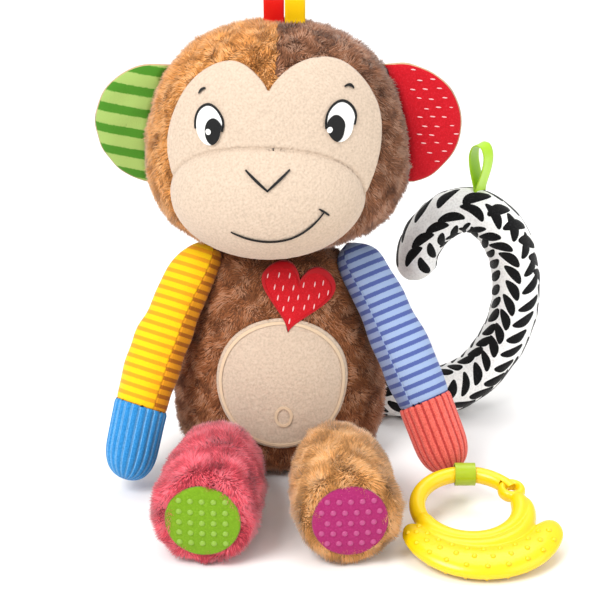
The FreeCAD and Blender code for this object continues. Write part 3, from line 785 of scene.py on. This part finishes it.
def make_arm(name, side, tip, stripes, hand_colours):
    shoulder = joint_place("shoulder_" + name)
    along = unit(shoulder - np.array(tip) * MM)
    foot = shoulder - along * (ARM_LENGTH * MM)
    tree = cad_tree("sleeve_front_" + name, "sleeve_back_" + name, "hand_" + name,
                    "arm_stuffing_" + name)
    caps = 24
    segments = WALES * WALE_COLUMNS
    grid = body_grid(tree, foot + along * ARM_CAP * MM, foot + along * ARM_END * MM, caps,
                     int(2 * (ARM_END - ARM_CAP)), segments, even=False)
    grid = bowed(grid, foot, along, np.array((side, 0.0, 0.0)),
                 RIGHT_BOW if side < 0 else LEFT_BOW)
    cuff = caps + int(2 * (CUFF - ARM_CAP))
    sleeve = grid[cuff:]
    side_axis, other_axis = frame_across(along)
    toward_body = np.array((-side * 0.82, 0.57, 0.0))
    inner_turn = math.atan2(toward_body @ other_axis, toward_body @ side_axis) % (2 * math.pi)
    inner_column = int(inner_turn / (2 * math.pi) * segments)
    folds = 0.35 * MM * wobble(sleeve, 16 * MM, 70 + side) - 0.35 * MM
    folds[:4] -= 0.6 * MM * np.array((1, 0.6, 0.3, 0.1))[:, None]
    seam_gap = np.abs((np.arange(segments) - inner_column + segments // 2) % segments - segments // 2)
    folds -= 0.5 * MM * np.exp(-((seam_gap - segments * 0.25) / 1.2) ** 2)[None, :]

    # The half of the sleeve that faces the body is its inner panel, with darker stripes: partly a different
    # fabric, partly painted shade from the body.
    def panel(row, column):
        away = (column - inner_column + segments // 2) % segments - segments // 2
        return (np.abs(away) < segments * 0.25).astype(int)
    cloths = [striped_knit(f"sleeve_{name}_{number}", colours, along, 4.7 if side < 0 else 5.0,
                           0.56, phase, 0.35)
              for number, (colours, phase) in enumerate(stripes)]
    piece = grid_object("sleeve_" + name, along_grid(sleeve, folds), cloths, panel)
    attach(piece, "arm_" + name)
    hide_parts("sleeve_front_" + name, "sleeve_back_" + name, "arm_stuffing_" + name)

    hand = grid[:cuff + 1]
    place = (np.arange(segments) % WALE_COLUMNS) / WALE_COLUMNS
    ridge = np.abs(np.sin(math.pi * place)) ** 0.55
    fade = np.clip(np.arange(len(hand)) / caps, 0, 1) ** 0.7
    relief = (ridge[None, :] - 0.7) * 1.1 * MM * fade[:, None]
    relief[-4:] -= 0.5 * MM * np.array((0.1, 0.4, 0.8, 1.4))[:, None]
    cloths = [cord_cloth(f"hand_{name}_wale", hand_colours[0]),
              cord_cloth(f"hand_{name}_groove", hand_colours[1])]
    piece = grid_object("hand_cloth_" + name, along_grid(hand, relief), cloths,
                        lambda row, column: (np.isin(column % WALE_COLUMNS, (0, 1, 10, 11))).astype(int))
    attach(piece, "arm_" + name)
    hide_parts("hand_" + name)


def cord_cloth(name, colour):
    material = new_material(name, colour, 0.85, 0.3, 0.25)
    paint(material, ramp(material, noise(material, 0.7 * MM, 3.0),
                         ((0.35, darker(colour, 0.88)), (0.65, lighter(colour, 0.1)))))
    add_bump(material, noise(material, 0.4 * MM), 0.25 * MM)
    return material


# ---- legs -----------------------------------------------------------------------------------
def make_leg(name, sole, hip, colour, sole_colour, shifted):
    sole = np.array(sole) * MM
    along = unit(np.array((hip[0], hip[1], sole[2] / MM)) * MM - sole)
    tree = cad_tree("leg_cover_" + name, "leg_stuffing_" + name)
    grid = body_grid(tree, sole + along * 22 * MM, sole + along * 55 * MM, 36, 40, 180)
    skin = along_grid(grid, np.full(grid.shape[:2], -1.5 * MM))
    skin[..., 2] = np.maximum(skin[..., 2], 0.0002)
    # The skin under the fur is the leg's backing, its colour darkened to 60 % as painted shade at the foot of the
    # pile.
    body = grid_object("leg_skin_" + name, skin,
                       [new_material("leg_backing_shade_" + name, darker(colour, 0.6), 0.9)])
    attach(body, "leg_" + name)
    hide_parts("leg_cover_" + name, "leg_stuffing_" + name)

    def keep(points, normals):
        from_axis = points - sole
        distance = from_axis @ along
        radius = np.linalg.norm(from_axis - np.outer(distance, along), axis=1)
        return ~((distance < 3 * MM) & (radius < FUR_FREE_RADIUS * MM))
    roots, normals = scatter(skin, 46000, 80 + len(name), keep)
    fur = tufts("leg_fur_" + name, "leg_" + name, roots, normals, fur_shades("leg_fur_" + name, colour),
                90 + len(name), length=3.6, flow=-0.5 * along + np.array((0, 0, -0.4)), clump=9.0)
    make_sole(name, sole, along, sole_colour, shifted)


def make_sole(name, centre, along, colour, shifted):
    """A crowned printed sole with raised grip dots."""
    side, other = frame_across(along)
    rings = 24
    spokes = 96
    around = directions_round(side, other, spokes)

    def height(share):
        return CROWN * MM * (1 - share ** 2)
    rows = [centre + around * (SOLE_RADIUS * MM * share) - along * (SOLE_LIFT * MM + height(share))
            for share in np.linspace(0, 1, rings + 1)]
    rows.append(centre + around * (SOLE_RADIUS * MM * 1.02) + along * 0.2 * MM)
    rows.append(centre + around * (SOLE_RADIUS * MM * 0.9) + along * 0.8 * MM)
    cloth = minky("sole_cloth_" + name, colour, 0.8)
    piece = grid_object("sole_pad_" + name, np.array(rows), [cloth])
    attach(piece, "leg_" + name)
    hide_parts("sole_" + name)
    points = []
    faces = []
    reach = int(SOLE_RADIUS / DOT_PITCH) + 1
    for row in range(-reach, reach + 1):
        shift = DOT_PITCH / 2 if shifted and row % 2 else 0.0
        for column in range(-reach, reach + 1):
            x = column * DOT_PITCH + shift
            y = row * DOT_PITCH
            out = math.hypot(x, y)
            if out < SOLE_RADIUS - 2.3:
                base = centre + (side * x + other * y) * MM
                base -= along * (SOLE_LIFT * MM + height(out / SOLE_RADIUS))
                add_dome(points, faces, base, -along, side, other, GRIP_RADIUS * MM,
                         GRIP_HEIGHT * MM)
    dots = new_object("sole_grips_" + name, points, faces,
                      [new_material("grip_" + name, lighter(colour, 0.12), 0.4)])
    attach(dots, "leg_" + name)
    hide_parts("sole_dots_" + name)


def add_dome(points, faces, base, out, side, other, radius, height, sides=14, levels=4):
    """A closed rounded dot that stands on a point of a surface."""
    start = len(points)
    sunk = base - out * (0.4 * MM)
    for level in range(levels + 1):
        angle = math.pi / 2 * max(level - 1, 0) / (levels - 1) * 0.9
        centre = sunk if level == 0 else base + out * (height * math.sin(angle))
        for turn in range(sides):
            t = 2 * math.pi * turn / sides
            points.append(centre + (side * math.cos(t) + other * math.sin(t)) * radius * math.cos(angle))
    for level in range(levels):
        for turn in range(sides):
            a = start + level * sides + turn
            b = start + level * sides + (turn + 1) % sides
            faces.append([a, b, b + sides, a + sides])
    faces.append([start + levels * sides + turn for turn in range(sides)])
    faces.append([start + turn for turn in reversed(range(sides))])


# ---- tail -----------------------------------------------------------------------------------
def make_tail():
    tree = cad_tree("tail_cover")
    route = spline(np.array(TAIL_ROUTE) * MM, 420)[1:-2]
    grid = tube_grid(tree, route, 0.016, 120)
    grid = along_grid(grid, 0.3 * MM * wobble(grid, 14 * MM, 101) - 0.1 * MM)
    white = minky("tail_plush", (0.96, 0.96, 0.95))
    tail = grid_object("tail_plush", grid, [white])
    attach(tail, "tail")
    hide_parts("tail_cover", "tail_stuffing")
    make_leaves(grid)


def make_leaves(grid):
    """The black leaf print: sprigs of paired leaves that run along the tail."""
    rows, segments = grid.shape[:2]
    normals = grid_normals(grid)
    centres = grid.mean(axis=1)
    length = np.linalg.norm(np.diff(centres, axis=0), axis=1).sum() / MM
    around = 2 * math.pi * TAIL_PRINT_RADIUS
    points = []
    faces = []

    def on_surface(s, c, lift):
        row = np.clip(s / length * (rows - 1), 0, rows - 1.001)
        column = (c / around * segments) % segments
        i = int(row)
        j = int(column)
        k = (j + 1) % segments
        u = row - i
        v = column - j
        place = ((grid[i, j] * (1 - v) + grid[i, k] * v) * (1 - u)
                 + (grid[i + 1, j] * (1 - v) + grid[i + 1, k] * v) * u)
        return place + normals[i, j] * lift

    def leaf(s, c, angle, size, wide):
        start = len(points)
        steps = 14
        lines = 6
        for step in range(steps + 1):
            t = step / steps
            half = wide / 2 * math.sin(math.pi * min(t, 0.999)) ** 0.65
            bend = 0.9 * math.sin(math.pi * t)
            for line in range(lines + 1):
                across = half * (2 * line / lines - 1) + bend
                x = size * t * math.cos(angle) - across * math.sin(angle)
                y = size * t * math.sin(angle) + across * math.cos(angle)
                edge = line in (0, lines) or step in (0, steps)
                points.append(on_surface(s + x, c + y, (-0.15 if edge else 0.22) * MM))
        width = lines + 1
        for step in range(steps):
            for line in range(lines):
                a = start + step * width + line
                faces.append([a, a + 1, a + 1 + width, a + width])

    rng = np.random.default_rng(105)
    sprigs = 4
    pitch = 9.8
    for sprig in range(sprigs):
        middle = around * sprig / sprigs
        offset = pitch * 0.5 * (sprig % 2)
        for step in range(int(length / pitch) + 1):
            s = step * pitch + offset - 2
            sway = 2.6 * math.sin(s / 15 + sprig * 2.1)
            turn = math.radians(16) * math.sin(s / 23 + sprig * 1.3)
            for hand in (-1, 1):
                if 1 < s + hand * 2 < length - 13:
                    leaf(s + hand * 2, middle + sway + hand * 1.0,
                         turn + hand * math.radians(rng.uniform(35, 43)),
                         rng.uniform(13.8, 15.6), rng.uniform(6.0, 6.8))
    print_mesh = new_object("tail_leaves", points, faces, [minky("leaf_print", (0.04, 0.04, 0.045))])
    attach(print_mesh, "tail")


# ---- ribbons --------------------------------------------------------------------------------
def strip_loop(name, body, nodes, material, origin, across, out, height, radius, twist):
    """A folded ribbon loop that stands on its sewn foot."""
    across = unit(np.array(across, float))
    out = unit(np.array(out, float))
    side = np.cross(out, across)
    outline = [(-0.35, -2.0), (-0.6, 1.0), (-radius * 0.8, height * 0.45), (-radius, height * 0.75),
               (-radius * 0.62, height * 0.96), (0, height), (radius * 0.62, height * 0.96),
               (radius, height * 0.75), (radius * 0.8, height * 0.45), (0.6, 1.0), (0.35, -2.0)]
    line = spline([(x, 0, z) for x, z in outline], 64)
    tangent = unit(np.gradient(line, axis=0))
    normal = np.stack((tangent[:, 2], np.zeros(len(line)), -tangent[:, 0]), axis=1)
    lines = 8
    points = []
    for face in (0.5, -0.5):
        for place, facing in zip(line, normal):
            share = place[2] / height
            for column in range(lines + 1):
                reach = (column / lines - 0.5) * RIBBON_WIDTH
                cup = -0.075 * math.cos(2 * math.pi * column / lines)
                local = place + facing * (face * RIBBON_THICKNESS + cup)
                x = local[0] + twist * share * reach
                points.append(origin + (side * x + across * reach + out * local[2]) * MM)
    width = lines + 1
    half = len(line) * width
    faces = []
    for index in range(len(line) - 1):
        for column in range(lines):
            a = index * width + column
            faces.append([a, a + 1, a + 1 + width, a + width])
            faces.append([half + a, half + a + width, half + a + 1 + width, half + a + 1])
        a = index * width
        faces.append([a, a + width, half + a + width, half + a])
        b = a + lines
        faces.append([b, half + b, half + b + width, b + width])
    for index in (0, len(line) - 1):
        a = index * width
        for column in range(lines):
            quad = [a + column, half + a + column, half + a + column + 1, a + column + 1]
            faces.append(quad if index == 0 else quad[::-1])
    piece = new_object(name, points, faces, [material])
    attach(piece, body)
    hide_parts(*nodes)


def make_ribbons():
    for name, colour in (("red", (0.86, 0.06, 0.06)), ("yellow", (0.98, 0.80, 0.02))):
        low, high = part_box("head_ribbon_" + name)
        foot = np.array(((low.x + high.x) / 2, (low.y + high.y) / 2, low.z))
        strip_loop("loop_" + name, "head_ribbons", ["head_ribbon_" + name],
                   satin("satin_" + name, colour), foot, (1, 0, 0), (0, 0, 1),
                   LOOP_HEIGHT, LOOP_RADIUS, 0.06)
    low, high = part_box("tail_ribbon")
    foot = np.array(((low.x + high.x) / 2, (low.y + high.y) / 2, low.z))
    turn = math.radians(50)
    strip_loop("loop_lime", "tail_loop", ["tail_ribbon"],
               satin("satin_lime", (0.66, 0.84, 0.08)), foot,
               (math.cos(turn), math.sin(turn), 0), (0, 0, 1), LOOP_HEIGHT, LOOP_RADIUS, 0.1)


# ---- teether --------------------------------------------------------------------------------
def swept(points, faces, line, wide, tall, up, sides=20):
    """A closed tube with oval sections, as wide and tall as the two lists say."""
    start = len(points)
    along = unit(np.gradient(line, axis=0))
    for place, direction, half_width, half_height in zip(line, along, wide, tall):
        across = unit(np.cross(direction, up))
        for turn in range(sides):
            t = 2 * math.pi * turn / sides
            points.append(place + across * half_width * math.cos(t) + up * half_height * math.sin(t))
    for step in range(len(line) - 1):
        for turn in range(sides):
            a = start + step * sides + turn
            b = start + step * sides + (turn + 1) % sides
            faces.append([a, b, b + sides, a + sides])
    last = start + (len(line) - 1) * sides
    faces.append([start + turn for turn in reversed(range(sides))])
    faces.append([last + turn for turn in range(sides)])


def arc_line(radii, start, end):
    """A line round the ring's centre; radii are spread from its start to its end."""
    turns = np.radians(np.linspace(start, end, len(radii)))
    return np.stack((radii * np.cos(turns), radii * np.sin(turns), np.zeros(len(radii))), axis=1)


def rounded_ends(count, share=0.1):
    """Factors that close a swept body like a finger at both of its ends."""
    place = np.linspace(0, 1, count)
    near = np.clip(np.minimum(place, 1 - place) / share, 0, 1)
    return np.maximum(np.sqrt(1 - (1 - near) ** 2), 0.05)


def make_teether():
    hinge = joint_place("teether_swing")
    tilt = math.radians(11)
    turn = np.array(((1, 0, 0), (0, math.cos(tilt), -math.sin(tilt)),
                     (0, math.sin(tilt), math.cos(tilt))))

    def in_frame(local):
        moved = np.asarray(local) * MM - np.array((0, RING_RADIUS * MM, 0))
        return moved @ turn.T + hinge
    up = np.array((0.0, 0.0, 1.0))
    count = 60
    share = np.linspace(0, 1, count)
    ends = rounded_ends(count)
    points = []
    faces = []
    swept(points, faces, arc_line(np.full(count, 25.0), 192, 382), np.full(count, 4.6) * ends,
          np.full(count, 4.7) * ends, up)
    middle = np.sin(math.pi * share)
    swept(points, faces, arc_line(28.0 + 2.4 * middle, 208, 374), (2.2 + 2.6 * middle) * ends,
          (3.0 + 1.8 * middle) * ends, up)
    body = np.sin(math.pi * (0.08 + 0.80 * share))
    outer_radius = 32.0 + 9.5 * np.sin(math.pi * 0.68 * share)
    outer = arc_line(outer_radius, 204, 345)
    outer_wide = 10.6 * body ** 0.6 * ends
    outer_tall = 4.9 * body ** 0.4 * ends
    swept(points, faces, outer, outer_wide, outer_tall, up, 28)
    eyelet = math.radians(29)
    eye = np.array((math.cos(eyelet), math.sin(eyelet), 0.0)) * RING_RADIUS
    round_turns = np.linspace(0, 2 * math.pi, 40)
    rim = eye + 4.7 * np.stack((np.cos(round_turns), np.sin(round_turns), 0 * round_turns), axis=1)
    swept(points, faces, rim, np.full(40, 2.2), np.full(40, 3.2), up)
    plastic = new_material("teether_plastic", (0.93, 0.78, 0.03), 0.26)
    shader = plastic.node_tree.nodes["Principled BSDF"]
    shader.inputs["Subsurface Weight"].default_value = 0.08
    shader.inputs["Subsurface Radius"].default_value = (0.004, 0.003, 0.001)
    add_bump(plastic, noise(plastic, 3 * MM), 0.05 * MM, 0.3)
    bunch = new_object("banana_bunch", in_frame(points), faces, [plastic])
    fuse(bunch, 0.55 * MM, 3)
    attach(bunch, "teether")
    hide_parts("teether_bananas")

    points = []
    faces = []
    for row, size in ((-0.62, 1.0), (-0.12, 1.0), (0.36, 0.9)):
        for index in range(5, count - 6, 5):
            step = index + (2 if row == -0.12 else 0)
            away = unit(outer[step])
            place = outer[step] - away * (outer_wide[step] * row)
            height = outer_tall[step] * math.sqrt(1 - row * row)
            for side in (1, -1):
                out = unit(np.array((0, 0, side / outer_tall[step])) - away * row / outer_wide[step])
                base = place + up * side * height
                add_dome(points, faces, in_frame(base), out @ turn.T, away @ turn.T,
                         np.cross(out, away) @ turn.T, 1.35 * size * MM, 1.0 * MM, 12, 4)
    bumps = new_object("banana_bumps", points, faces, [plastic])
    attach(bumps, "teether")
    dress("teether_ring", plastic)
    dress("teether_ribbon", satin("satin_clip", (0.62, 0.70, 0.05)))


def fuse(piece, voxel, smoothing):
    """Joins the overlapping bodies of a mesh into one smooth skin."""
    remesh = piece.modifiers.new("fuse", "REMESH")
    remesh.mode = "VOXEL"
    remesh.voxel_size = voxel
    remesh.use_smooth_shade = True
    smooth = piece.modifiers.new("smooth", "SMOOTH")
    smooth.iterations = smoothing
    apply_modifiers(piece)


def apply_modifiers(piece):
    evaluated = piece.evaluated_get(bpy.context.evaluated_depsgraph_get())
    mesh = bpy.data.meshes.new_from_object(evaluated)
    piece.modifiers.clear()
    piece.data = mesh
    mesh.polygons.foreach_set("use_smooth", [True] * len(mesh.polygons))


def make_inner_parts():
    """The neck under the fur, the panel below the seat and the noise makers inside."""
    tree = cad_tree("neck_stuffing")
    grid = body_grid(tree, (0, 0, 0.116), (0, 0, 0.122), 10, 6, 48)
    # The neck cloth is the torso's brown darkened to 70 %, as painted shade in the gap under the head.
    neck = grid_object("neck_skin", grid, [minky("neck_cloth_shade", darker(BROWN, 0.7))])
    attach(neck, "neck")
    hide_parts("neck_stuffing")
    dress("seat_panel", minky("seat_cloth", BROWN))
    plastic = new_material("noise_plastic", (0.9, 0.9, 0.88), 0.5)
    add_bump(plastic, noise(plastic, 0.6 * MM), 0.05 * MM)
    for node in ("squeaker_bellows", "squeaker_reed", "rattle_capsule", "rattle_beads"):
        dress(node, plastic)


# ---- room -----------------------------------------------------------------------------------
def make_room():
    size = 12.0
    floor = new_object("floor", [(-size, -size, 0), (size, -size, 0), (size, size, 0), (-size, size, 0)],
                       [[0, 1, 2, 3]], [new_material("floor_paper", (0.97, 0.965, 0.96), 0.9)])
    world = bpy.data.worlds.new("studio")
    world.use_nodes = True
    background = world.node_tree.nodes["Background"]
    background.inputs["Color"].default_value = (1.0, 1.0, 1.0, 1.0)
    background.inputs["Strength"].default_value = 0.75
    bpy.context.scene.world = world
    add_light("key", (-0.8, -1.0, 1.4), 1.0, 27.0)
    add_light("fill", (1.3, -0.8, 0.8), 1.4, 7.0)
    add_light("top", (0.1, 0.5, 1.7), 1.4, 13.0)
    view = bpy.context.scene.view_settings
    view.view_transform = "Standard"
    view.look = "None"


def add_light(name, place, size, power):
    data = bpy.data.lights.new(name, "AREA")
    data.shape = "DISK"
    data.size = size
    data.energy = power
    light = bpy.data.objects.new(name, data)
    light.location = place
    light.rotation_euler = (Vector((0, 0, 0.1)) - Vector(place)).to_track_quat("-Z", "Y").to_euler()
    bpy.context.scene.collection.objects.link(light)


make_camera()
make_room()
make_torso()
make_belly()
make_head()
make_face()
make_embroidery()
make_ears()
# Each arm gives its sleeve's outer stripes, then the darker stripes of the panel that faces the body (partly its
# own fabric, partly painted shade from the body), then its hand's wale and groove colours.
make_arm("right", -1, (-77, -54, 12),
         ((((0.95, 0.77, 0.03), (0.88, 0.60, 0.08)), 0.0),
          (((0.84, 0.57, 0.08), (0.62, 0.36, 0.06)), 0.3)),
         ((0.10, 0.50, 0.78), (0.36, 0.64, 0.85)))
make_arm("left", 1, (88, -53, 11),
         ((((0.58, 0.66, 0.80), (0.30, 0.36, 0.60)), 0.0),
          (((0.52, 0.58, 0.72), (0.28, 0.33, 0.55)), 0.35)),
         ((0.90, 0.37, 0.32), (0.76, 0.22, 0.20)))
make_leg("right", (-34.5, -128, 25.2), (-27, -45.5), (1.0, 0.33, 0.40), (0.44, 0.60, 0.08), False)
make_leg("left", (34, -128, 25.2), (27, -45.5), (0.97, 0.68, 0.38), (0.62, 0.14, 0.38), True)
make_tail()
make_ribbons()
make_teether()
make_inner_parts()
